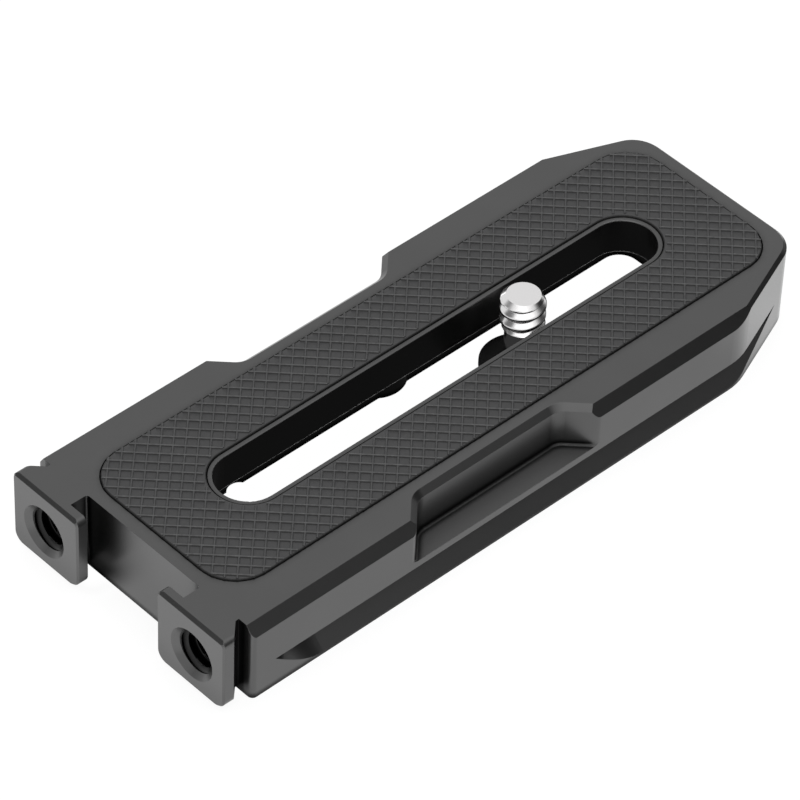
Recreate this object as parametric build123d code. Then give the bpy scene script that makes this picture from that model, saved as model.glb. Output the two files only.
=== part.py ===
from build123d import *
import os

os.makedirs("parts", exist_ok=True)

# A long camera mounting plate with a dovetail foot, two T shaped accessory
# lugs on its front end, a rubber pad on top and a captive camera screw.
# Millimetres. X runs along the plate from the lugs to the tapered end, Z is up.
# Stations along X are measured from the front face and moved by FRONT_X.

# Body block
BODY_LENGTH = 104.65
BODY_WIDTH = 42.0
BODY_HEIGHT = 12.8
SIDE_BEVEL_WIDTH = 1.2
SIDE_BEVEL_HEIGHT = 1.85
TOP_CHAMFER = 0.55
FRONT_CORNER_RADIUS = 0.8
TAPER_LENGTH = 16.1
TAPER_INSET = 6.35
TAPER_START_RADIUS = 10.0
TAPER_END_RADIUS = 5.0

# Dovetail undercut along both long sides, cut by a conical cutter
DOVETAIL_TOP = 4.85
DOVETAIL_LIP = 0.4
CUTTER_RADIUS = 10.0
CUTTER_START = 12.3

# Finger recesses in both long sides
RECESS_FRONT = 28.1
RECESS_BACK = 61.0
RECESS_DEPTH = 3.85
RECESS_FLOOR = 5.95
RECESS_CORNER_RADIUS = 2.5
RECESS_MOUTH_RADIUS = 1.4
RECESS_FLARE = 0.85
RECESS_FLOOR_FILLET = 0.4

# Pocket for the rubber pad, which stands proud of the plate
POCKET_DEPTH = 1.0
PAD_PROUD = 0.4
PAD_GAP = 0.15
PAD_SIDE_MARGIN = 6.3
PAD_FRONT_MARGIN = 1.95
PAD_BACK_MARGIN = 2.55
PAD_CORNER_RADIUS = 6.0

# Through slot for the camera screw, with a thin rim between it and the pad
SLOT_HALF_WIDTH = 4.6
SLOT_FRONT_MARGIN = 17.85
SLOT_BACK_MARGIN = 18.15
RIM_THICKNESS = 0.65
RIM_ROUND = 0.18

# Channel under the slot for the screw head
CHANNEL_DEPTH = 7.1
CHANNEL_HALF_WIDTH = 9.1
CHANNEL_FRONT_MARGIN = 8.8
CHANNEL_BACK_MARGIN = 8.75
CHANNEL_CORNER_RADIUS = 3.0
RELIEF_STATION = 23.75
RELIEF_RADIUS = 1.8
RELIEF_REACH = 0.75
BOSS_STATION = 52.4
BOSS_RADIUS = 4.6
BOSS_REACH = 0.8

# T shaped lugs on the front face
LUG_OFFSET = 14.2
LUG_REACH = 4.5
FLANGE_THICKNESS = 1.7
FLANGE_WIDTH = 12.85
FLANGE_BOTTOM = 0.6
FLANGE_LOWER_RADIUS = 1.8
FLANGE_UPPER_RADIUS = 0.9
FLANGE_CHAMFER = 0.25
FLANGE_TOP_SLOPE_LENGTH = 0.56
FLANGE_TOP_SLOPE_HEIGHT = 0.36
NECK_INNER = 11.0
NECK_OUTER = 18.35
NECK_FILLET = 0.4

# Quarter inch camera thread, 20 turns to the inch
THREAD_DIAMETER = 6.35
LUG_HOLE_OFFSET = 14.5
LUG_HOLE_HEIGHT = 6.3
LUG_HOLE_DEPTH = 11.0
COUNTERSINK_DEPTH = 0.8

# Camera screw, turned in one piece, and the washer that keeps it in the slot
SCREW_STATION = 67.3
HEAD_RADIUS = 5.3
HEAD_THICKNESS = 1.6
HEAD_REST_GAP = 0.2
HEAD_EDGE_CHAMFER = 0.3
COIN_SLOT_WIDTH = 1.6
COIN_SLOT_DEPTH = 0.9
SHANK_RADIUS = 2.35
THREAD_LENGTH = 5.1
THREAD_TIP_CHAMFER = 0.6
SCREW_LENGTH = 14.7
WASHER_RADIUS = 5.6
WASHER_THICKNESS = 0.75
WASHER_SEAT_GAP = 0.05
WASHER_BORE_CLEARANCE = 0.08

# Derived places
FRONT_X = -(BODY_LENGTH - LUG_REACH) / 2
HALF_WIDTH = BODY_WIDTH / 2
BACK_X = FRONT_X + BODY_LENGTH
SLOT_FIRST_X = FRONT_X + SLOT_FRONT_MARGIN
SLOT_LAST_X = BACK_X - SLOT_BACK_MARGIN
SLOT_MIDDLE_X = (SLOT_FIRST_X + SLOT_LAST_X) / 2
SLOT_RUN = SLOT_LAST_X - SLOT_FIRST_X
PAD_FLOOR = BODY_HEIGHT - POCKET_DEPTH
PAD_TOP = BODY_HEIGHT + PAD_PROUD
RIM_HALF_WIDTH = SLOT_HALF_WIDTH + RIM_THICKNESS
THREAD_RADIUS = THREAD_DIAMETER / 2
SCREW_X = FRONT_X + SCREW_STATION
HEAD_BOTTOM = HEAD_REST_GAP
HEAD_TOP = HEAD_BOTTOM + HEAD_THICKNESS
SCREW_TIP = HEAD_BOTTOM + SCREW_LENGTH
WASHER_BOTTOM = HEAD_TOP + WASHER_SEAT_GAP
OVERCUT = 2.0


def slot_sketch(half_width):
    """Round ended slot outline along the screw's run."""
    return SlotCenterToCenter(SLOT_RUN, 2 * half_width)


def prism(sketch, bottom, top, x=0.0):
    """A sketch at a station along X, extruded from one height to another."""
    return extrude(Pos(x, 0, bottom) * sketch, amount=top - bottom)


def body_outline():
    """Plan of the block: square front, tapered and rounded far corners."""
    taper_x = BACK_X - TAPER_LENGTH
    end_y = HALF_WIDTH - TAPER_INSET
    points = [
        (FRONT_X, -HALF_WIDTH),
        (taper_x, -HALF_WIDTH),
        (BACK_X, -end_y),
        (BACK_X, end_y),
        (taper_x, HALF_WIDTH),
        (FRONT_X, HALF_WIDTH),
    ]
    outline = make_face(Polyline(*points, close=True))
    starts = outline.vertices().filter_by(lambda v: abs(v.X - taper_x) < 0.01)
    outline = fillet(starts, TAPER_START_RADIUS)
    ends = outline.vertices().filter_by(lambda v: abs(v.X - BACK_X) < 0.01)
    return fillet(ends, TAPER_END_RADIUS)


def block():
    """Outer block with the end chamfer and the tall side bevels."""
    solid = prism(body_outline(), 0, BODY_HEIGHT)
    rim = solid.faces().sort_by(Axis.Z)[-1].edges()
    rim = rim.filter_by(lambda e: e.center().X > FRONT_X + 0.01)
    solid = chamfer(rim, TOP_CHAMFER)
    for side in (-1, 1):
        section = [
            (side * (HALF_WIDTH - SIDE_BEVEL_WIDTH), BODY_HEIGHT),
            (side * HALF_WIDTH, BODY_HEIGHT - SIDE_BEVEL_HEIGHT),
            (side * (HALF_WIDTH + OVERCUT), BODY_HEIGHT - SIDE_BEVEL_HEIGHT),
            (side * (HALF_WIDTH + OVERCUT), BODY_HEIGHT + OVERCUT),
            (side * (HALF_WIDTH - SIDE_BEVEL_WIDTH), BODY_HEIGHT + OVERCUT),
        ]
        wedge = Plane.YZ * make_face(Polyline(*section, close=True))
        solid -= Pos(FRONT_X - OVERCUT, 0, 0) * extrude(wedge, amount=BODY_LENGTH + 2 * OVERCUT)
    return solid


def dovetail_cut(side):
    """Undercut with a flat roof and a 45 degree flank, and its round run-out."""
    depth = DOVETAIL_TOP - DOVETAIL_LIP
    start_x = FRONT_X + CUTTER_START
    section = [
        (side * (HALF_WIDTH + OVERCUT), DOVETAIL_LIP - OVERCUT),
        (side * (HALF_WIDTH - depth), DOVETAIL_TOP),
        (side * (HALF_WIDTH + OVERCUT), DOVETAIL_TOP),
    ]
    run = Plane.YZ * make_face(Polyline(*section, close=True))
    groove = Pos(start_x, 0, 0) * extrude(run, amount=BODY_LENGTH)
    cone_height = DOVETAIL_TOP + OVERCUT
    cone = Cone(CUTTER_RADIUS - cone_height, CUTTER_RADIUS, cone_height)
    cone_y = side * (HALF_WIDTH - depth + CUTTER_RADIUS)
    return groove + Pos(start_x, cone_y, DOVETAIL_TOP - cone_height / 2) * cone


def recess_cut(side):
    """Finger recess: slanted ends with rounded mouths, flared top, filleted floor."""
    front = FRONT_X + RECESS_FRONT
    back = FRONT_X + RECESS_BACK
    wall_y = HALF_WIDTH - RECESS_DEPTH
    outer_y = HALF_WIDTH + OVERCUT
    points = [
        (front - 2 * OVERCUT, side * outer_y),
        (front - 2 * OVERCUT, side * HALF_WIDTH),
        (front, side * HALF_WIDTH),
        (front + RECESS_DEPTH, side * wall_y),
        (back - RECESS_DEPTH, side * wall_y),
        (back, side * HALF_WIDTH),
        (back + 2 * OVERCUT, side * HALF_WIDTH),
        (back + 2 * OVERCUT, side * outer_y),
    ]
    plan = make_face(Polyline(*points, close=True))
    inner = plan.vertices().filter_by(lambda v: abs(abs(v.Y) - wall_y) < 0.01)
    plan = fillet(inner, RECESS_CORNER_RADIUS)
    mouth = plan.vertices().filter_by(
        lambda v: abs(v.X - front) < 0.01 or abs(v.X - back) < 0.01)
    plan = fillet(mouth, RECESS_MOUTH_RADIUS)
    cut = prism(plan, RECESS_FLOOR, BODY_HEIGHT)
    cut = fillet(cut.faces().sort_by(Axis.Z)[0].edges(), RECESS_FLOOR_FILLET)
    flare = extrude(Pos(0, 0, BODY_HEIGHT - RECESS_FLARE) * plan, amount=RECESS_FLARE, taper=-45)
    return cut + flare


def channel_cut():
    """Underside channel for the screw head, with two reliefs and two bosses."""
    length = BODY_LENGTH - CHANNEL_FRONT_MARGIN - CHANNEL_BACK_MARGIN
    middle = FRONT_X + CHANNEL_FRONT_MARGIN + length / 2
    plan = Pos(middle, 0) * RectangleRounded(length, 2 * CHANNEL_HALF_WIDTH, CHANNEL_CORNER_RADIUS)
    relief_y = CHANNEL_HALF_WIDTH + RELIEF_REACH - RELIEF_RADIUS
    boss_y = CHANNEL_HALF_WIDTH - BOSS_REACH + BOSS_RADIUS
    for side in (-1, 1):
        plan += Pos(FRONT_X + RELIEF_STATION, side * relief_y) * Circle(RELIEF_RADIUS)
        plan -= Pos(FRONT_X + BOSS_STATION, side * boss_y) * Circle(BOSS_RADIUS)
    return prism(plan, -OVERCUT, CHANNEL_DEPTH)


def pad_outline(shrink):
    """Plan of the pad pocket, made smaller all round by a gap."""
    length = BODY_LENGTH - PAD_FRONT_MARGIN - PAD_BACK_MARGIN
    middle = FRONT_X + PAD_FRONT_MARGIN + length / 2
    width = BODY_WIDTH - 2 * PAD_SIDE_MARGIN
    size = (length - 2 * shrink, width - 2 * shrink)
    outer = Pos(middle, 0) * RectangleRounded(*size, PAD_CORNER_RADIUS - shrink)
    return outer - Pos(SLOT_MIDDLE_X, 0) * slot_sketch(RIM_HALF_WIDTH + shrink)


def lug(side):
    """T shaped lug: a wide rounded flange on a neck with a slanted outer side."""
    height = BODY_HEIGHT - FLANGE_BOTTOM
    face = Rectangle(FLANGE_WIDTH, height)
    corners = face.vertices().sort_by(Axis.Y)
    face = fillet(corners[:2], FLANGE_LOWER_RADIUS)
    face = fillet(face.vertices().sort_by(Axis.Y)[-2:], FLANGE_UPPER_RADIUS)
    bar = extrude(Plane.YZ * face, amount=LUG_REACH + OVERCUT)
    front = bar.faces().sort_by(Axis.X)[0]
    bar = chamfer(front.edges(), FLANGE_CHAMFER)
    front_x = FRONT_X - LUG_REACH
    bar = Pos(front_x, side * LUG_OFFSET, FLANGE_BOTTOM + height / 2) * bar
    back_x = front_x + FLANGE_THICKNESS
    inner = LUG_OFFSET - FLANGE_WIDTH / 2
    outer = LUG_OFFSET + FLANGE_WIDTH / 2
    points = [
        (front_x, side * inner),
        (front_x, side * outer),
        (back_x, side * outer),
        (back_x + outer - NECK_OUTER, side * NECK_OUTER),
        (FRONT_X + OVERCUT, side * NECK_OUTER),
        (FRONT_X + OVERCUT, side * NECK_INNER),
        (back_x, side * NECK_INNER),
        (back_x, side * inner),
    ]
    bar &= prism(make_face(Polyline(*points, close=True)), 0, BODY_HEIGHT)
    slope = [
        (front_x, BODY_HEIGHT - FLANGE_TOP_SLOPE_HEIGHT),
        (front_x + FLANGE_TOP_SLOPE_LENGTH, BODY_HEIGHT),
        (front_x, BODY_HEIGHT),
    ]
    wedge = extrude(Plane.XZ * make_face(Polyline(*slope, close=True)), amount=FLANGE_WIDTH, both=True)
    return bar - Pos(0, side * LUG_OFFSET, 0) * wedge


def lug_hole(side):
    """Blind threaded hole in a lug, with its countersink."""
    mouth_x = FRONT_X - LUG_REACH
    place = Pos(0, side * LUG_HOLE_OFFSET, LUG_HOLE_HEIGHT)
    bore = Pos(mouth_x + LUG_HOLE_DEPTH / 2, 0, 0) * Rot(0, 90, 0) * Cylinder(THREAD_RADIUS, LUG_HOLE_DEPTH)
    sink = Pos(mouth_x + COUNTERSINK_DEPTH / 2, 0, 0) * Rot(0, 90, 0) * Cone(
        THREAD_RADIUS + COUNTERSINK_DEPTH, THREAD_RADIUS, COUNTERSINK_DEPTH)
    return place * (bore + sink)


def plate():
    """The machined plate, one piece of anodised aluminium."""
    solid = block()
    for side in (-1, 1):
        solid -= dovetail_cut(side)
        solid -= recess_cut(side)
    corners = solid.edges().filter_by(Axis.Z).filter_by(
        lambda e: abs(e.center().X - FRONT_X) < 0.01 and abs(e.center().Y) > HALF_WIDTH - 0.01)
    solid = fillet(corners, FRONT_CORNER_RADIUS)
    solid -= prism(slot_sketch(SLOT_HALF_WIDTH), -OVERCUT, BODY_HEIGHT + OVERCUT, SLOT_MIDDLE_X)
    mouth = solid.faces().sort_by(Axis.Z)[-1].inner_wires()[0].edges()
    solid = fillet(mouth, RIM_ROUND)
    solid -= prism(pad_outline(0), PAD_FLOOR, BODY_HEIGHT + OVERCUT)
    solid -= channel_cut()
    for side in (-1, 1):
        solid += lug(side)
    inner = solid.edges().filter_by(Axis.Z).filter_by(
        lambda e: abs(e.center().X - FRONT_X) < 0.01 and abs(abs(e.center().Y) - NECK_INNER) < 0.01)
    solid = fillet(inner, NECK_FILLET)
    for side in (-1, 1):
        solid -= lug_hole(side)
    return solid


def pad():
    """Rubber pad that fills the pocket round the slot rim."""
    return prism(pad_outline(PAD_GAP), PAD_FLOOR, PAD_TOP)


def camera_screw():
    """Turned screw: low head with a coin slot, thin shank and camera thread."""
    profile = [
        (0, HEAD_BOTTOM),
        (HEAD_RADIUS - HEAD_EDGE_CHAMFER, HEAD_BOTTOM),
        (HEAD_RADIUS, HEAD_BOTTOM + HEAD_EDGE_CHAMFER),
        (HEAD_RADIUS, HEAD_TOP),
        (SHANK_RADIUS, HEAD_TOP),
        (SHANK_RADIUS, SCREW_TIP - THREAD_LENGTH - THREAD_RADIUS + SHANK_RADIUS),
        (THREAD_RADIUS, SCREW_TIP - THREAD_LENGTH),
        (THREAD_RADIUS, SCREW_TIP - THREAD_TIP_CHAMFER),
        (THREAD_RADIUS - THREAD_TIP_CHAMFER, SCREW_TIP),
        (0, SCREW_TIP),
    ]
    screw = revolve(Plane.XZ * make_face(Polyline(*profile, close=True)), Axis.Z)
    slot = Box(2 * HEAD_RADIUS + OVERCUT, COIN_SLOT_WIDTH, COIN_SLOT_DEPTH)
    screw -= Pos(0, 0, HEAD_BOTTOM + COIN_SLOT_DEPTH / 2) * slot
    return Pos(SCREW_X, 0, 0) * screw


def screw_washer():
    """Captive washer that sits on the head and runs under the slot's web."""
    ring = Cylinder(WASHER_RADIUS, WASHER_THICKNESS)
    ring -= Cylinder(SHANK_RADIUS + WASHER_BORE_CLEARANCE, WASHER_THICKNESS)
    return Pos(SCREW_X, 0, WASHER_BOTTOM + WASHER_THICKNESS / 2) * ring


export_step(plate(), "parts/mounting_plate.step")
export_step(pad(), "parts/rubber_pad.step")
export_step(screw_washer(), "parts/screw_washer.step")
export_step(camera_screw(), "parts/camera_screw.step")
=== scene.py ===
"""Camera mounting plate with a rubber grip pad and a captive camera screw."""

import math

import bmesh
import bpy
from mathutils import Matrix, Vector


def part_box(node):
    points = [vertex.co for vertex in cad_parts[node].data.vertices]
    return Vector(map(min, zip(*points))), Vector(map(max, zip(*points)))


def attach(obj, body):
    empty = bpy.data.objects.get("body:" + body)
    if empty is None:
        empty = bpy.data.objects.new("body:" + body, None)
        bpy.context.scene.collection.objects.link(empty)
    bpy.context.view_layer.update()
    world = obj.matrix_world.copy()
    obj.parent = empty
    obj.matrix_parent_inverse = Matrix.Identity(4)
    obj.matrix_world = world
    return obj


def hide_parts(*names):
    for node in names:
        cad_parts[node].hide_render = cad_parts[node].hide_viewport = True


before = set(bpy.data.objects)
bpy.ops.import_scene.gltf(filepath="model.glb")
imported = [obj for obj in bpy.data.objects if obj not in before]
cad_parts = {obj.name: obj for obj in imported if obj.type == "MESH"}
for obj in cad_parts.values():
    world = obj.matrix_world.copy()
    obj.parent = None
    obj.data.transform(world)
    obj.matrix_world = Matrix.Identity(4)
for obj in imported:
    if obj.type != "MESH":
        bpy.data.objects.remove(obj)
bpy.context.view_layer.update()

# Lengths below are in millimetres and become metres through MM.
MM = 0.001

# Camera, measured from the middle of the body's front face at its base
IMAGE_PIXELS = 800
SENSOR_MM = 36.0
FOCAL_PIXELS = 4917.0
CAMERA_AZIMUTH = 44.60
CAMERA_ELEVATION = 43.69
CAMERA_ROLL = 2.418
CAMERA_RIGHT = 33.112
CAMERA_UP = 27.158
CAMERA_BACK = 635.397

# Plate
LUG_REACH = 4.5
LUG_INNER_SIDE = 7.75
TAPER_LENGTH = 16.1
TAPER_INSET = 6.35
SLOT_FIRST_CENTRE = 17.85
SLOT_LAST_CENTRE = 86.5
SLOT_HALF_WIDTH = 4.6
SLOT_EDGE_LINE = 0.1
SLOT_EDGE_PROUD = 0.012
SLOT_EDGE_EASE = 0.01
CHANNEL_DEPTH = 7.1
LUG_HOLE_OFFSET = 14.5
LUG_HOLE_HEIGHT = 6.3
LUG_HOLE_DEPTH = 11.0
COUNTERSINK_DEPTH = 0.8
LUG_THREAD_GAP = 0.01
LUG_THREAD_EASE = 0.05

# Pad
PAD_INNER_RADIUS = 5.4
PAD_CORNER_RADIUS = 5.85
PAD_EDGE_ROUND = 0.17
GRID_OUTER_MARGIN = 0.12
GRID_INNER_MARGIN = 0.4
RIDGE_PITCH = 1.628
RIDGE_FOOT = 0.54
RIDGE_TOP = 0.22
RIDGE_EASE = 0.04
RIDGE_HEIGHT = 0.2
FAINT_RIDGE_HEIGHT = 0.15
RIDGE_SINK = 0.05
RIDGE_STEP = 0.05
RIDGE_HALF_STEPS = 1400
GRID_HALF_SPAN = 50
FARTHEST_RAY = 60.0
RAYS_PER_END = 60
RAY_HALVINGS = 40

# Least upward part of a normal that makes a pad face a top and not a flank; ridge tops get lighter
# rubber as a painted highlight, and the tall ridges' flanks and the pad's edges get dark rubber as
# painted shade
FLOOR_UPWARD = 0.95
FAINT_RIDGE_UPWARD = 0.9
RIDGE_UPWARD = 0.68

# Quarter inch camera thread, 20 turns to the inch
THREAD_RADIUS = 3.175
THREAD_ROOT_RADIUS = 2.5
THREAD_PITCH = 1.27
THREAD_CREST_SHARE = 0.2
THREAD_ROOT_SHARE = 0.14
THREAD_STATIONS = 20
THREAD_COLUMNS = 96
MERGE_DISTANCE = 1e-4

# Camera screw, whose turns look coarser in the photograph than its thread is
SHOWN_SCREW_PITCH = 1.75
SCREW_HEAD_RADIUS = 5.3
SCREW_HEAD_THICKNESS = 1.6
SCREW_EDGE_CHAMFER = 0.3
SCREW_SHANK_RADIUS = 2.35
SCREW_THREAD_LENGTH = 5.1
SCREW_TIP_CHAMFER = 0.78
SCREW_RUN_IN = 0.1
COIN_SLOT_WIDTH = 1.6
COIN_SLOT_DEPTH = 0.9

# Surfaces
NOISE_LOW = 0.3
NOISE_HIGH = 0.7
NOISE_DETAIL = 3.0
# Painted shade in inner corners: how far it reaches and the darkest share of the grey
INNER_CORNER_REACH = 1.2
INNER_CORNER_SHADE = 0.2
# Low upward floors: a lighter grey as painted light, their duller roughness, and the height below which
# they count
LOW_FLOOR_PAINTED_GREY = 0.16
MILLED_ROUGHNESS = 0.6
LOW_FLOOR_TOP = 8.0

# Light of the surroundings, where 1 is white. Each patch has its light, its
# direction, and the angles in degrees where it starts to fade and ends.
TENT_LIGHT = 0.8
LIGHT_PATCHES = (
    (1.4, (-0.16, -0.155, 0.976), 20, 45),
    (0.03, (0.76, -0.63, 0.16), 14, 44),
    (0.16, (-0.46, 0.53, 0.71), 10, 27),
)

# Floor: its size and drop, the width of its soft borders, and how bright its
# parts look in the plate's sheen
FLOOR_HALF_SIZE = 3000
FLOOR_DROP = 0.05
BORDER = 4
FLOOR_SEEN_UNDER = 1.0
FLOOR_SEEN = 1.15
FLOOR_GLOW_SHARE = 0.75
MIRRORED_BESIDE = 0.95
MIRRORED_AHEAD = 1.16
MIRRORED_BEHIND = 1.42
MIRRORED_FAR_ASIDE = 0.06
MIRRORED_UNDER = 0.035
BEHIND_WIDTH = 15
FAR_ASIDE_WAY = (0.8, -0.6, 0)
FAR_ASIDE_START = 60
FAR_ASIDE_END = 95

plate_low, plate_high = (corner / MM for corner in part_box("mounting_plate"))
pad_low, pad_high = (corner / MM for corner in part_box("rubber_pad"))
screw_low, screw_high = (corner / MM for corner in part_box("camera_screw"))
FRONT_X = plate_low.x + LUG_REACH
SLOT_ENDS = (FRONT_X + SLOT_FIRST_CENTRE, FRONT_X + SLOT_LAST_CENTRE)


# Mesh helpers


def new_object(name, bm, material):
    """Turns millimetre geometry into a linked object in metres."""
    bmesh.ops.recalc_face_normals(bm, faces=bm.faces)
    bm.transform(Matrix.Scale(MM, 4))
    mesh = bpy.data.meshes.new(name)
    bm.to_mesh(mesh)
    bm.free()
    mesh.materials.append(material)
    piece = bpy.data.objects.new(name, mesh)
    bpy.context.scene.collection.objects.link(piece)
    return piece


def smooth(piece, degrees):
    """Smooth shading with the edges sharper than an angle kept crisp."""
    piece.data.shade_smooth()
    piece.data.set_sharp_from_angle(angle=math.radians(degrees))


def cut(piece, cutter):
    """Takes a cutter object away from a piece and deletes the cutter."""
    step = piece.modifiers.new("cut", "BOOLEAN")
    step.operation = "DIFFERENCE"
    step.solver = "EXACT"
    step.object = cutter
    bpy.context.view_layer.update()
    graph = bpy.context.evaluated_depsgraph_get()
    mesh = bpy.data.meshes.new_from_object(piece.evaluated_get(graph))
    piece.modifiers.clear()
    piece.data = mesh
    bpy.data.objects.remove(cutter)


def stitch_rings(bm, rings):
    """Quads between each ring of vertices and the next."""
    for lower, upper in zip(rings, rings[1:]):
        for i in range(len(lower)):
            j = (i + 1) % len(lower)
            bm.faces.new((lower[i], lower[j], upper[j], upper[i]))


def add_box(bm, length, width, height, place):
    """A box centred on a place given by a matrix."""
    size = Matrix.Diagonal((length, width, height, 1))
    bmesh.ops.create_cube(bm, size=1, matrix=place @ size)


# Shader helpers


def new_material(name, colour, roughness, metallic=0.0):
    """A principled material, with its node tree and shader."""
    material = bpy.data.materials.new(name)
    material.use_nodes = True
    tree = material.node_tree
    shader = tree.nodes["Principled BSDF"]
    shader.inputs["Base Color"].default_value = (*colour, 1)
    shader.inputs["Roughness"].default_value = roughness
    shader.inputs["Metallic"].default_value = metallic
    return material, tree, shader


def map_range(tree, value, start, end, low=0.0, high=1.0, smoothed=False):
    """A value's range from start to end mapped onto low to high, and held beyond."""
    mapping = tree.nodes.new("ShaderNodeMapRange")
    if smoothed:
        mapping.interpolation_type = "SMOOTHSTEP"
    mapping.inputs["From Min"].default_value = start
    mapping.inputs["From Max"].default_value = end
    mapping.inputs["To Min"].default_value = low
    mapping.inputs["To Max"].default_value = high
    tree.links.new(value, mapping.inputs["Value"])
    return mapping.outputs["Result"]


def ramp(tree, value, start, end):
    """0 up to a start and 1 from an end, smooth between them; both in millimetres."""
    return map_range(tree, value, start * MM, end * MM, smoothed=True)


def set_or_link(tree, socket, value):
    """Gives a socket a number, or the link from another socket."""
    if isinstance(value, (int, float)):
        socket.default_value = value
    else:
        tree.links.new(value, socket)


def calculate(tree, operation, *values):
    """The result of one math node, from numbers or sockets."""
    node = tree.nodes.new("ShaderNodeMath")
    node.operation = operation
    for socket, value in zip(node.inputs, values):
        set_or_link(tree, socket, value)
    return node.outputs[0]


def blend_value(tree, share, first, second):
    """first where share is 0 and second where it is 1; both are numbers or sockets."""
    mix = tree.nodes.new("ShaderNodeMix")
    mix.data_type = "FLOAT"
    tree.links.new(share, mix.inputs["Factor"])
    set_or_link(tree, mix.inputs[2], first)
    set_or_link(tree, mix.inputs[3], second)
    return mix.outputs[0]


def along(tree, vector, direction):
    """How far a vector goes along a direction."""
    dot = tree.nodes.new("ShaderNodeVectorMath")
    dot.operation = "DOT_PRODUCT"
    dot.inputs[1].default_value = direction
    tree.links.new(vector, dot.inputs[0])
    return dot.outputs["Value"]


def coordinates(tree, vector):
    """The X, Y and Z of a vector."""
    parts = tree.nodes.new("ShaderNodeSeparateXYZ")
    tree.links.new(vector, parts.inputs[0])
    return parts.outputs


def noise(tree, grain_mm):
    """Noise with a grain of a given size, fixed to the object."""
    place = tree.nodes.new("ShaderNodeTexCoord")
    texture = tree.nodes.new("ShaderNodeTexNoise")
    texture.inputs["Scale"].default_value = 1 / (grain_mm * MM)
    texture.inputs["Detail"].default_value = NOISE_DETAIL
    tree.links.new(place.outputs["Object"], texture.inputs["Vector"])
    return texture.outputs["Fac"]


def spread(tree, noise_value, low, high):
    """A noise value mapped onto a range, and held beyond it."""
    return map_range(tree, noise_value, NOISE_LOW, NOISE_HIGH, low, high)


def tint(tree, value, dark, light):
    """A colour between two shades, reached at the ends of the noise range."""
    shades = tree.nodes.new("ShaderNodeValToRGB")
    for element, place, shade in zip(shades.color_ramp.elements, (NOISE_LOW, NOISE_HIGH), (dark, light)):
        element.position = place
        element.color = (*shade, 1)
    tree.links.new(value, shades.inputs["Fac"])
    return shades.outputs["Color"]


def add_bump(tree, shader, height, depth_mm, round_mm):
    """Surface grain over edges that catch light as if slightly rounded."""
    soft_edge = tree.nodes.new("ShaderNodeBevel")
    soft_edge.samples = 6
    soft_edge.inputs["Radius"].default_value = round_mm * MM
    bump = tree.nodes.new("ShaderNodeBump")
    bump.inputs["Strength"].default_value = 1.0
    bump.inputs["Distance"].default_value = depth_mm * MM
    tree.links.new(height, bump.inputs["Height"])
    tree.links.new(soft_edge.outputs["Normal"], bump.inputs["Normal"])
    tree.links.new(bump.outputs["Normal"], shader.inputs["Normal"])


# Materials


def anodised_aluminium(name, shade):
    """Black anodised, bead blasted aluminium: a dark satin sheen with a fine grain, with painted shade
    in inner corners and a lighter painted grey on low upward floors.
    """
    material, tree, shader = new_material(name, (shade,) * 3, roughness=0.3, metallic=1.0)
    low_floor = low_floor_light_and_finish(tree)
    grey = spread(tree, noise(tree, grain_mm=9.0), shade * 0.975, shade * 1.025)
    # Painted light: low upward floors get a lighter grey.
    grey = blend_value(tree, low_floor, grey, LOW_FLOOR_PAINTED_GREY)
    # Painted shade: the grey darkens in inner corners.
    grey = calculate(tree, "MULTIPLY", grey, painted_corner_shade(tree))
    tree.links.new(grey, shader.inputs["Base Color"])
    grain = noise(tree, grain_mm=0.12)
    gloss = blend_value(tree, low_floor, spread(tree, grain, 0.28, 0.34), MILLED_ROUGHNESS)
    tree.links.new(gloss, shader.inputs["Roughness"])
    add_bump(tree, shader, grain, depth_mm=0.0012, round_mm=0.1)
    return material


def painted_corner_shade(tree):
    """Painted shade: 1 on open faces and less in inner corners, where less light gets in; it darkens the
    base colour.
    """
    closeness = tree.nodes.new("ShaderNodeAmbientOcclusion")
    closeness.samples = 8
    closeness.inputs["Distance"].default_value = INNER_CORNER_REACH * MM
    return map_range(tree, closeness.outputs["AO"], 0.75, 0.97, low=INNER_CORNER_SHADE)


def low_floor_light_and_finish(tree):
    """1 on the low upward faces, which keep a duller milled finish and are painted a lighter grey as
    painted light.
    """
    geometry = tree.nodes.new("ShaderNodeNewGeometry").outputs
    upward = calculate(tree, "GREATER_THAN", coordinates(tree, geometry["True Normal"])["Z"], 0.95)
    low = ramp(tree, coordinates(tree, geometry["Position"])["Z"], LOW_FLOOR_TOP, LOW_FLOOR_TOP - 0.5)
    return calculate(tree, "MULTIPLY", upward, low)


def pad_rubber(name, dark, light):
    """Moulded black rubber, matt with a faint bloom."""
    material, tree, shader = new_material(name, dark, roughness=0.55)
    cloud = noise(tree, grain_mm=0.7)
    tree.links.new(tint(tree, cloud, dark, light), shader.inputs["Base Color"])
    grain = noise(tree, grain_mm=0.2)
    tree.links.new(spread(tree, grain, 0.5, 0.62), shader.inputs["Roughness"])
    add_bump(tree, shader, grain, depth_mm=0.006, round_mm=0.05)
    return material


def turned_steel():
    """Stainless steel with fine turning marks."""
    material, tree, shader = new_material("steel", (0.87, 0.86, 0.86), roughness=0.14, metallic=1.0)
    cloud = noise(tree, grain_mm=1.5)
    tree.links.new(spread(tree, cloud, 0.1, 0.2), shader.inputs["Roughness"])
    marks = noise(tree, grain_mm=0.25)
    add_bump(tree, shader, marks, depth_mm=0.004, round_mm=0.05)
    return material


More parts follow.
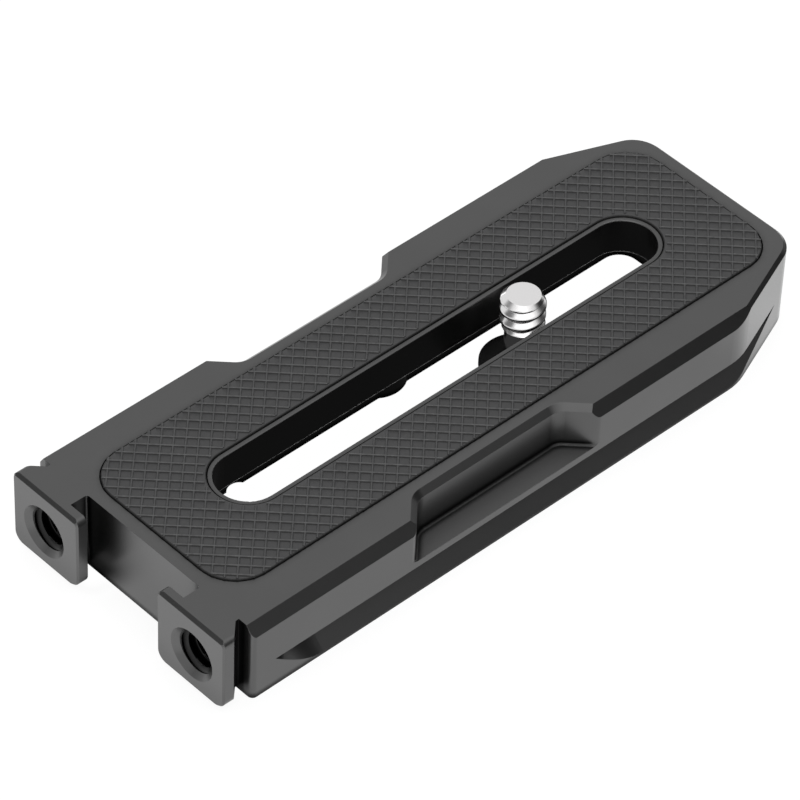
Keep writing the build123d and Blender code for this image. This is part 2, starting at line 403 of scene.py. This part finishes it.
def painted_edge_highlight():
    """Lighter metal for a painted highlight along an edge."""
    material, tree, shader = new_material("painted_edge_highlight", (0.3, 0.3, 0.3), roughness=0.4, metallic=0.6)
    highlight_grain = noise(tree, grain_mm=0.8)
    colour = tint(tree, highlight_grain, (0.2, 0.2, 0.2), (0.7, 0.7, 0.7))
    tree.links.new(colour, shader.inputs["Base Color"])
    add_bump(tree, shader, highlight_grain, depth_mm=0.003, round_mm=0.05)
    return material


def washer_plastic():
    """Black satin plastic."""
    material, tree, shader = new_material("washer", (0.012, 0.012, 0.012), roughness=0.45)
    grain = noise(tree, grain_mm=0.2)
    tree.links.new(spread(tree, grain, 0.4, 0.5), shader.inputs["Roughness"])
    add_bump(tree, shader, grain, depth_mm=0.003, round_mm=0.08)
    return material


# Rubber pad


def ray_frame():
    """Starts and directions of rays from the slot's middle line out over the pad."""
    rays = []
    for centre_x, first in ((SLOT_ENDS[1], -90), (SLOT_ENDS[0], 90)):
        for i in range(RAYS_PER_END + 1):
            angle = math.radians(first + 180 * i / RAYS_PER_END)
            rays.append((Vector((centre_x, 0)), Vector((math.cos(angle), math.sin(angle)))))
    return rays


def outside_distance(point):
    """Distance from a point to the pad's rounded outline, negative inside."""
    middle = (pad_low + pad_high) / 2
    half = (pad_high - pad_low) / 2
    x = abs(point.x - middle.x) - half.x + PAD_CORNER_RADIUS
    y = abs(point.y - middle.y) - half.y + PAD_CORNER_RADIUS
    corner = math.hypot(max(x, 0), max(y, 0))
    return corner + min(max(x, y), 0) - PAD_CORNER_RADIUS


def slot_distance(point):
    """Distance from a point to the slot's middle line."""
    nearest = min(max(point.x, SLOT_ENDS[0]), SLOT_ENDS[1])
    return math.hypot(point.x - nearest, point.y)


def ray_end(start, direction, inset):
    """Point where a ray meets the pad's outline moved inwards by an inset."""
    near, far = PAD_INNER_RADIUS, FARTHEST_RAY
    for _ in range(RAY_HALVINGS):
        middle = (near + far) / 2
        if outside_distance(start + direction * middle) < -inset:
            near = middle
        else:
            far = middle
    return start + direction * near


def pad_body(bm):
    """The pad without its ridges, as rings from the slot side to the outer side."""
    rays = ray_frame()
    half_round = PAD_EDGE_ROUND * (1 - math.sqrt(0.5))
    top = pad_high.z - RIDGE_HEIGHT
    steps = (
        (0, pad_low.z),
        (0, top - PAD_EDGE_ROUND),
        (half_round, top - half_round),
        (PAD_EDGE_ROUND, top),
    )
    rings = []
    for inset, z in steps:
        points = [start + way * (PAD_INNER_RADIUS + inset) for start, way in rays]
        rings.append([bm.verts.new((p.x, p.y, z)) for p in points])
    for inset, z in reversed(steps):
        points = [ray_end(start, way, inset) for start, way in rays]
        rings.append([bm.verts.new((p.x, p.y, z)) for p in points])
    stitch_rings(bm, rings + rings[:1])


def ridge_runs(direction, offset):
    """Stretches of one ridge line that lie on the pad, measured from its middle."""
    across = Vector((-direction.y, direction.x))
    middle = ((pad_low + pad_high) / 2).xy
    runs = []
    begin = None
    for i in range(-RIDGE_HALF_STEPS, RIDGE_HALF_STEPS + 1):
        reach = i * RIDGE_STEP
        point = middle + direction * reach + across * offset
        inside = outside_distance(point) < -GRID_OUTER_MARGIN
        inside = inside and slot_distance(point) > PAD_INNER_RADIUS + GRID_INNER_MARGIN
        if inside and begin is None:
            begin = reach
        if not inside and begin is not None:
            runs.append((begin, reach))
            begin = None
    return runs


def add_ridges(bm, degrees, height):
    """All ridges of one direction as bars with eased top edges."""
    angle = math.radians(degrees)
    direction = Vector((math.cos(angle), math.sin(angle)))
    across = Vector((-direction.y, direction.x))
    middle = ((pad_low + pad_high) / 2).xy
    floor = pad_high.z - RIDGE_HEIGHT - RIDGE_SINK
    top = pad_high.z - RIDGE_HEIGHT + height
    section = (
        (-RIDGE_FOOT / 2, floor),
        (-RIDGE_TOP / 2, top - RIDGE_EASE),
        (-RIDGE_TOP / 2 + RIDGE_EASE, top),
        (RIDGE_TOP / 2 - RIDGE_EASE, top),
        (RIDGE_TOP / 2, top - RIDGE_EASE),
        (RIDGE_FOOT / 2, floor),
    )
    count = int(GRID_HALF_SPAN / RIDGE_PITCH)
    for i in range(-count, count + 1):
        offset = i * RIDGE_PITCH
        for begin, end in ridge_runs(direction, offset):
            rings = []
            for reach in (begin, end):
                ring = []
                for side, z in section:
                    point = middle + direction * reach + across * (offset + side)
                    ring.append(bm.verts.new((point.x, point.y, z)))
                rings.append(ring)
            stitch_rings(bm, rings)
            bm.faces.new(rings[0])
            bm.faces.new(rings[1])


def make_pad(floor_rubber, ridge_highlight_rubber, shade_rubber, faint_highlight_rubber):
    """Rubber pad with its raised grid, in place of the plain solid; the ridge tops get a painted
    highlight, and the pad's edges and the tall ridges' flanks get painted shade.
    """
    bm = bmesh.new()
    pad_body(bm)
    plain = len(bm.faces)
    add_ridges(bm, 45, FAINT_RIDGE_HEIGHT)
    faint = len(bm.faces)
    add_ridges(bm, -45, RIDGE_HEIGHT)
    pad = new_object("grip_pad", bm, floor_rubber)
    for rubber in (ridge_highlight_rubber, shade_rubber, faint_highlight_rubber):
        pad.data.materials.append(rubber)
    floor, ridge, shade, faint_ridge = range(4)
    # Painted light and shade: lighter rubber on ridge tops as a painted highlight, dark rubber on the
    # pad's edges and the tall ridges' flanks as painted shade.
    faces = pad.data.polygons
    for face in faces[:plain]:
        face.material_index = floor if face.normal.z > FLOOR_UPWARD else shade
    for face in faces[plain:faint]:
        face.material_index = faint_ridge if face.normal.z > FAINT_RIDGE_UPWARD else floor
    for face in faces[faint:]:
        face.material_index = ridge if face.normal.z > RIDGE_UPWARD else shade
    smooth(pad, 35)
    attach(pad, "plate")
    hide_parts("rubber_pad")


# Threads


def thread_profile(share):
    """Radius of the thread at a share of one pitch, from root to crest and back."""
    flank = (1 - THREAD_CREST_SHARE - THREAD_ROOT_SHARE) / 2
    rise = (share - THREAD_ROOT_SHARE) / flank
    fall = (1 - share) / flank
    height = min(max(min(rise, fall), 0), 1)
    return THREAD_ROOT_RADIUS + (THREAD_RADIUS - THREAD_ROOT_RADIUS) * height


def thread_grid(bm, bottom, top, pitch, radius_at):
    """A helical grid about Z; radius_at(profile radius, z) trims it. Gives its end rings."""
    rows = int((top - bottom + 2 * pitch) / pitch * THREAD_STATIONS)
    columns = []
    for i in range(THREAD_COLUMNS):
        turn = i / THREAD_COLUMNS
        angle = 2 * math.pi * turn
        column = []
        for j in range(rows + 1):
            height = bottom + (j / THREAD_STATIONS - 1 + turn) * pitch
            z = min(max(height, bottom), top)
            share = ((z - bottom) / pitch + 1 - turn) % 1
            radius = radius_at(thread_profile(share), z)
            column.append(bm.verts.new((radius * math.cos(angle), radius * math.sin(angle), z)))
        columns.append(column)
    for i in range(THREAD_COLUMNS):
        wrap = THREAD_STATIONS if i == THREAD_COLUMNS - 1 else 0
        near = columns[i]
        far = columns[(i + 1) % THREAD_COLUMNS]
        for j in range(rows - wrap):
            bm.faces.new((near[j], far[j + wrap], far[j + 1 + wrap], near[j + 1]))
    return [column[0] for column in columns], [column[-1] for column in columns]


def lathe(bm, profile):
    """A turned skin about Z through (radius, z) points. Gives its rings."""
    rings = []
    for radius, z in profile:
        ring = []
        for i in range(THREAD_COLUMNS):
            angle = 2 * math.pi * i / THREAD_COLUMNS
            ring.append(bm.verts.new((radius * math.cos(angle), radius * math.sin(angle), z)))
        rings.append(ring)
    stitch_rings(bm, rings)
    return rings


def screw_mesh():
    """The screw about its own axis: head, shank and helical thread."""
    bottom = screw_low.z
    head_top = bottom + SCREW_HEAD_THICKNESS
    tip = screw_high.z
    thread_end = tip - SCREW_THREAD_LENGTH - (THREAD_RADIUS - SCREW_SHANK_RADIUS)

    def radius_at(radius, z):
        run_in = SCREW_SHANK_RADIUS + z - thread_end
        chamfer = THREAD_RADIUS - SCREW_TIP_CHAMFER + tip - z
        return min(radius, run_in, chamfer)

    bm = bmesh.new()
    thread_start, thread_tip = thread_grid(bm, thread_end, tip, SHOWN_SCREW_PITCH, radius_at)
    rings = lathe(bm, (
        (SCREW_HEAD_RADIUS - SCREW_EDGE_CHAMFER, bottom),
        (SCREW_HEAD_RADIUS, bottom + SCREW_EDGE_CHAMFER),
        (SCREW_HEAD_RADIUS, head_top),
        (SCREW_SHANK_RADIUS, head_top),
        (SCREW_SHANK_RADIUS, thread_end - SCREW_RUN_IN),
    ))
    stitch_rings(bm, (rings[-1], thread_start))
    bm.faces.new(rings[0])
    bm.faces.new(thread_tip)
    bmesh.ops.remove_doubles(bm, verts=bm.verts, dist=MERGE_DISTANCE)
    return bm


def make_screw(material):
    """Camera screw with a real thread, in place of the plain solid."""
    place = Matrix.Translation(((screw_low.x + screw_high.x) / 2, 0, 0))
    bm = screw_mesh()
    bm.transform(place)
    screw = new_object("threaded_screw", bm, material)
    coin = bmesh.new()
    head_bottom = place @ Matrix.Translation((0, 0, screw_low.z))
    add_box(coin, 3 * SCREW_HEAD_RADIUS, COIN_SLOT_WIDTH, 2 * COIN_SLOT_DEPTH, head_bottom)
    cut(screw, new_object("coin_slot", coin, material))
    smooth(screw, 30)
    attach(screw, "screw")
    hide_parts("camera_screw")


def make_lug_thread(side, material):
    """Thread inside a lug's hole, as a sleeve lining the bore under the countersink."""
    liner = THREAD_RADIUS - LUG_THREAD_GAP
    start, end = COUNTERSINK_DEPTH, LUG_HOLE_DEPTH - 2 * LUG_THREAD_GAP

    def radius_at(radius, z):
        cone = THREAD_RADIUS + COUNTERSINK_DEPTH - z
        inner = THREAD_ROOT_RADIUS + LUG_THREAD_EASE + THREAD_RADIUS - radius
        return min(max(inner, cone), liner)

    bm = bmesh.new()
    first, last = thread_grid(bm, start, end, THREAD_PITCH, radius_at)
    back, front = lathe(bm, ((liner, end), (liner, start)))
    stitch_rings(bm, (front, first))
    stitch_rings(bm, (last, back))
    bmesh.ops.remove_doubles(bm, verts=bm.verts, dist=MERGE_DISTANCE)
    mouth = Matrix.Translation((plate_low.x, side * LUG_HOLE_OFFSET, LUG_HOLE_HEIGHT))
    bm.transform(mouth @ Matrix.Rotation(math.radians(90), 4, "Y"))
    thread = new_object("lug_thread_" + ("left" if side > 0 else "right"), bm, material)
    smooth(thread, 30)
    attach(thread, "plate")


def make_slot_edge(material):
    """Thin lighter line round the slot's lower edge, where the screw's washer runs: a painted highlight
    along the edge.
    """
    section = (
        (0.0, 0.0),
        (SLOT_EDGE_PROUD, SLOT_EDGE_EASE),
        (SLOT_EDGE_PROUD, SLOT_EDGE_LINE),
        (0.0, SLOT_EDGE_LINE + SLOT_EDGE_EASE),
    )
    bm = bmesh.new()
    rings = []
    for reach, z in section:
        points = [start + way * (SLOT_HALF_WIDTH - reach) for start, way in ray_frame()]
        rings.append([bm.verts.new((p.x, p.y, CHANNEL_DEPTH + z)) for p in points])
    stitch_rings(bm, rings + rings[:1])
    line = new_object("slot_edge", bm, material)
    smooth(line, 40)
    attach(line, "plate")


# Stage


def set_world():
    """A soft tent with a bright patch overhead and dark openings, white to the camera."""
    world = bpy.data.worlds.new("tent")
    bpy.context.scene.world = world
    world.use_nodes = True
    tree = world.node_tree
    place = tree.nodes.new("ShaderNodeTexCoord").outputs["Generated"]
    light = TENT_LIGHT
    for patch_light, direction, full, fading in LIGHT_PATCHES:
        facing = along(tree, place, Vector(direction).normalized())
        start, end = (math.cos(math.radians(angle)) for angle in (fading, full))
        patch = map_range(tree, facing, start, end, smoothed=True)
        light = blend_value(tree, patch, light, patch_light)
    rays = tree.nodes.new("ShaderNodeLightPath")
    shown = blend_value(tree, rays.outputs["Is Camera Ray"], light, 1.0)
    shown = blend_value(tree, rays.outputs["Is Transmission Ray"], shown, 1.0)
    tree.links.new(shown, tree.nodes["Background"].inputs["Strength"])
    tree.nodes["Background"].inputs["Color"].default_value = (1, 1, 1, 1)


def outside_plate(tree, x, y):
    """1 where the floor is clear of the plate and 0 well under it."""
    across = calculate(tree, "ABSOLUTE", y)
    past_front = ramp(tree, x, FRONT_X + BORDER, FRONT_X)
    past_lugs = ramp(tree, x, plate_low.x + BORDER - 1, plate_low.x - 1)
    by_lugs = ramp(tree, across, LUG_INNER_SIDE - BORDER, LUG_INNER_SIDE + 1)
    past_front = blend_value(tree, by_lugs, past_front, past_lugs)
    past_back = ramp(tree, x, plate_high.x - BORDER, plate_high.x)
    narrowing = ramp(tree, x, plate_high.x - TAPER_LENGTH, plate_high.x)
    across = calculate(tree, "ADD", across, blend_value(tree, narrowing, 0.0, TAPER_INSET * MM))
    past_sides = ramp(tree, across, plate_high.y - BORDER, plate_high.y + 1)
    outside = calculate(tree, "MAXIMUM", past_front, past_back)
    return calculate(tree, "MAXIMUM", outside, past_sides)


def mirrored_floor(tree, position, x, outside):
    """Brightness of the floor where the plate's sheen shows it: a painted reflection, dark under the
    plate and far to the side, brighter ahead and behind.
    """
    far_aside = ramp(tree, along(tree, position, FAR_ASIDE_WAY), FAR_ASIDE_START, FAR_ASIDE_END)
    behind = ramp(tree, x, plate_high.x - BEHIND_WIDTH, plate_high.x)
    ahead = ramp(tree, x, plate_low.x - 1, plate_low.x - BORDER)
    mirrored = blend_value(tree, ahead, MIRRORED_BESIDE, MIRRORED_AHEAD)
    mirrored = blend_value(tree, behind, mirrored, MIRRORED_BEHIND)
    mirrored = blend_value(tree, far_aside, mirrored, MIRRORED_FAR_ASIDE)
    return blend_value(tree, outside, MIRRORED_UNDER, mirrored)


def floor_material():
    """Pale floor, near white to the camera and darker in the sheen where the plate covers it; its colour
    is painted dark under the plate as painted shadow, and its brightness in the sheen is painted by
    position.
    """
    material, tree, shader = new_material("floor", (0.9, 0.9, 0.9), roughness=0.9)
    shader.inputs["Specular IOR Level"].default_value = 0.0
    material.cycles.emission_sampling = "NONE"
    rays = tree.nodes.new("ShaderNodeLightPath").outputs
    position = tree.nodes.new("ShaderNodeNewGeometry").outputs["Position"]
    place = coordinates(tree, position)
    outside = outside_plate(tree, place["X"], place["Y"])
    # Painted shadow: the floor's colour is dark under the plate and pale outside.
    tree.links.new(tint(tree, outside, (0.08,) * 3, (0.9,) * 3), shader.inputs["Base Color"])
    mirrored = mirrored_floor(tree, position, place["X"], outside)
    seen = blend_value(tree, outside, FLOOR_SEEN_UNDER, FLOOR_SEEN)
    glow = tree.nodes.new("ShaderNodeEmission")
    tree.links.new(blend_value(tree, rays["Is Glossy Ray"], seen, mirrored), glow.inputs["Strength"])
    shown = blend_value(tree, outside, 1.0, FLOOR_GLOW_SHARE)
    share = blend_value(tree, rays["Is Glossy Ray"], 0.0, 1.0)
    share = blend_value(tree, rays["Is Camera Ray"], share, shown)
    share = blend_value(tree, rays["Is Transmission Ray"], share, shown)
    mix = tree.nodes.new("ShaderNodeMixShader")
    tree.links.new(share, mix.inputs[0])
    tree.links.new(shader.outputs[0], mix.inputs[1])
    tree.links.new(glow.outputs[0], mix.inputs[2])
    tree.links.new(mix.outputs[0], tree.nodes["Material Output"].inputs["Surface"])
    return material


def make_floor():
    """Plain floor just under the plate."""
    bm = bmesh.new()
    bmesh.ops.create_grid(bm, x_segments=1, y_segments=1, size=FLOOR_HALF_SIZE)
    bm.transform(Matrix.Translation((0, 0, -FLOOR_DROP)))
    floor = new_object("floor", bm, floor_material())


def make_camera():
    """Camera at the photograph's viewing angle."""
    azimuth = math.radians(CAMERA_AZIMUTH)
    elevation = math.radians(CAMERA_ELEVATION)
    roll = math.radians(CAMERA_ROLL)
    ahead = Vector((
        math.sin(azimuth) * math.cos(elevation),
        math.cos(azimuth) * math.cos(elevation),
        -math.sin(elevation),
    ))
    level = Vector((math.cos(azimuth), -math.sin(azimuth), 0))
    right = level * math.cos(roll) + level.cross(ahead) * math.sin(roll)
    up = right.cross(ahead)
    place = Vector((FRONT_X, 0, 0)) + right * CAMERA_RIGHT + up * CAMERA_UP - ahead * CAMERA_BACK
    data = bpy.data.cameras.new("camera")
    data.sensor_width = SENSOR_MM
    data.lens = FOCAL_PIXELS / IMAGE_PIXELS * SENSOR_MM
    data.clip_start = 0.05
    data.clip_end = 20
    camera = bpy.data.objects.new("camera", data)
    turn = Matrix((right, up, -ahead)).transposed().to_4x4()
    camera.matrix_world = Matrix.Translation(place * MM) @ turn
    bpy.context.scene.collection.objects.link(camera)
    bpy.context.scene.camera = camera


bpy.context.scene.view_settings.view_transform = "Standard"
metal = anodised_aluminium("anodised", 0.12)
# Painted shade: a darker copy of the anodised metal, for the threads inside the lug holes.
painted_shade_metal = anodised_aluminium("anodised_threads_painted_shade", 0.035)
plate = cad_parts["mounting_plate"]
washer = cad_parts["screw_washer"]
for node, material in ((plate, metal), (washer, washer_plastic())):
    for slot in node.material_slots:
        slot.material = material
# Pad rubbers: plain floor, ridge tops lighter as a painted highlight, edges and flanks dark as painted
# shade, faint ridge tops lighter as a painted highlight.
make_pad(
    pad_rubber("rubber_floor", (0.044, 0.044, 0.045), (0.05, 0.05, 0.051)),
    pad_rubber("rubber_ridge_painted_highlight", (0.062, 0.062, 0.063), (0.105, 0.105, 0.106)),
    pad_rubber("rubber_shade", (0.007, 0.007, 0.007), (0.012, 0.012, 0.012)),
    pad_rubber("rubber_faint_painted_highlight", (0.05, 0.05, 0.051), (0.072, 0.072, 0.073)),
)
make_screw(turned_steel())
for side in (-1, 1):
    make_lug_thread(side, painted_shade_metal)
# Painted highlight along the slot's lower edge.
make_slot_edge(painted_edge_highlight())
set_world()
make_floor()
make_camera()
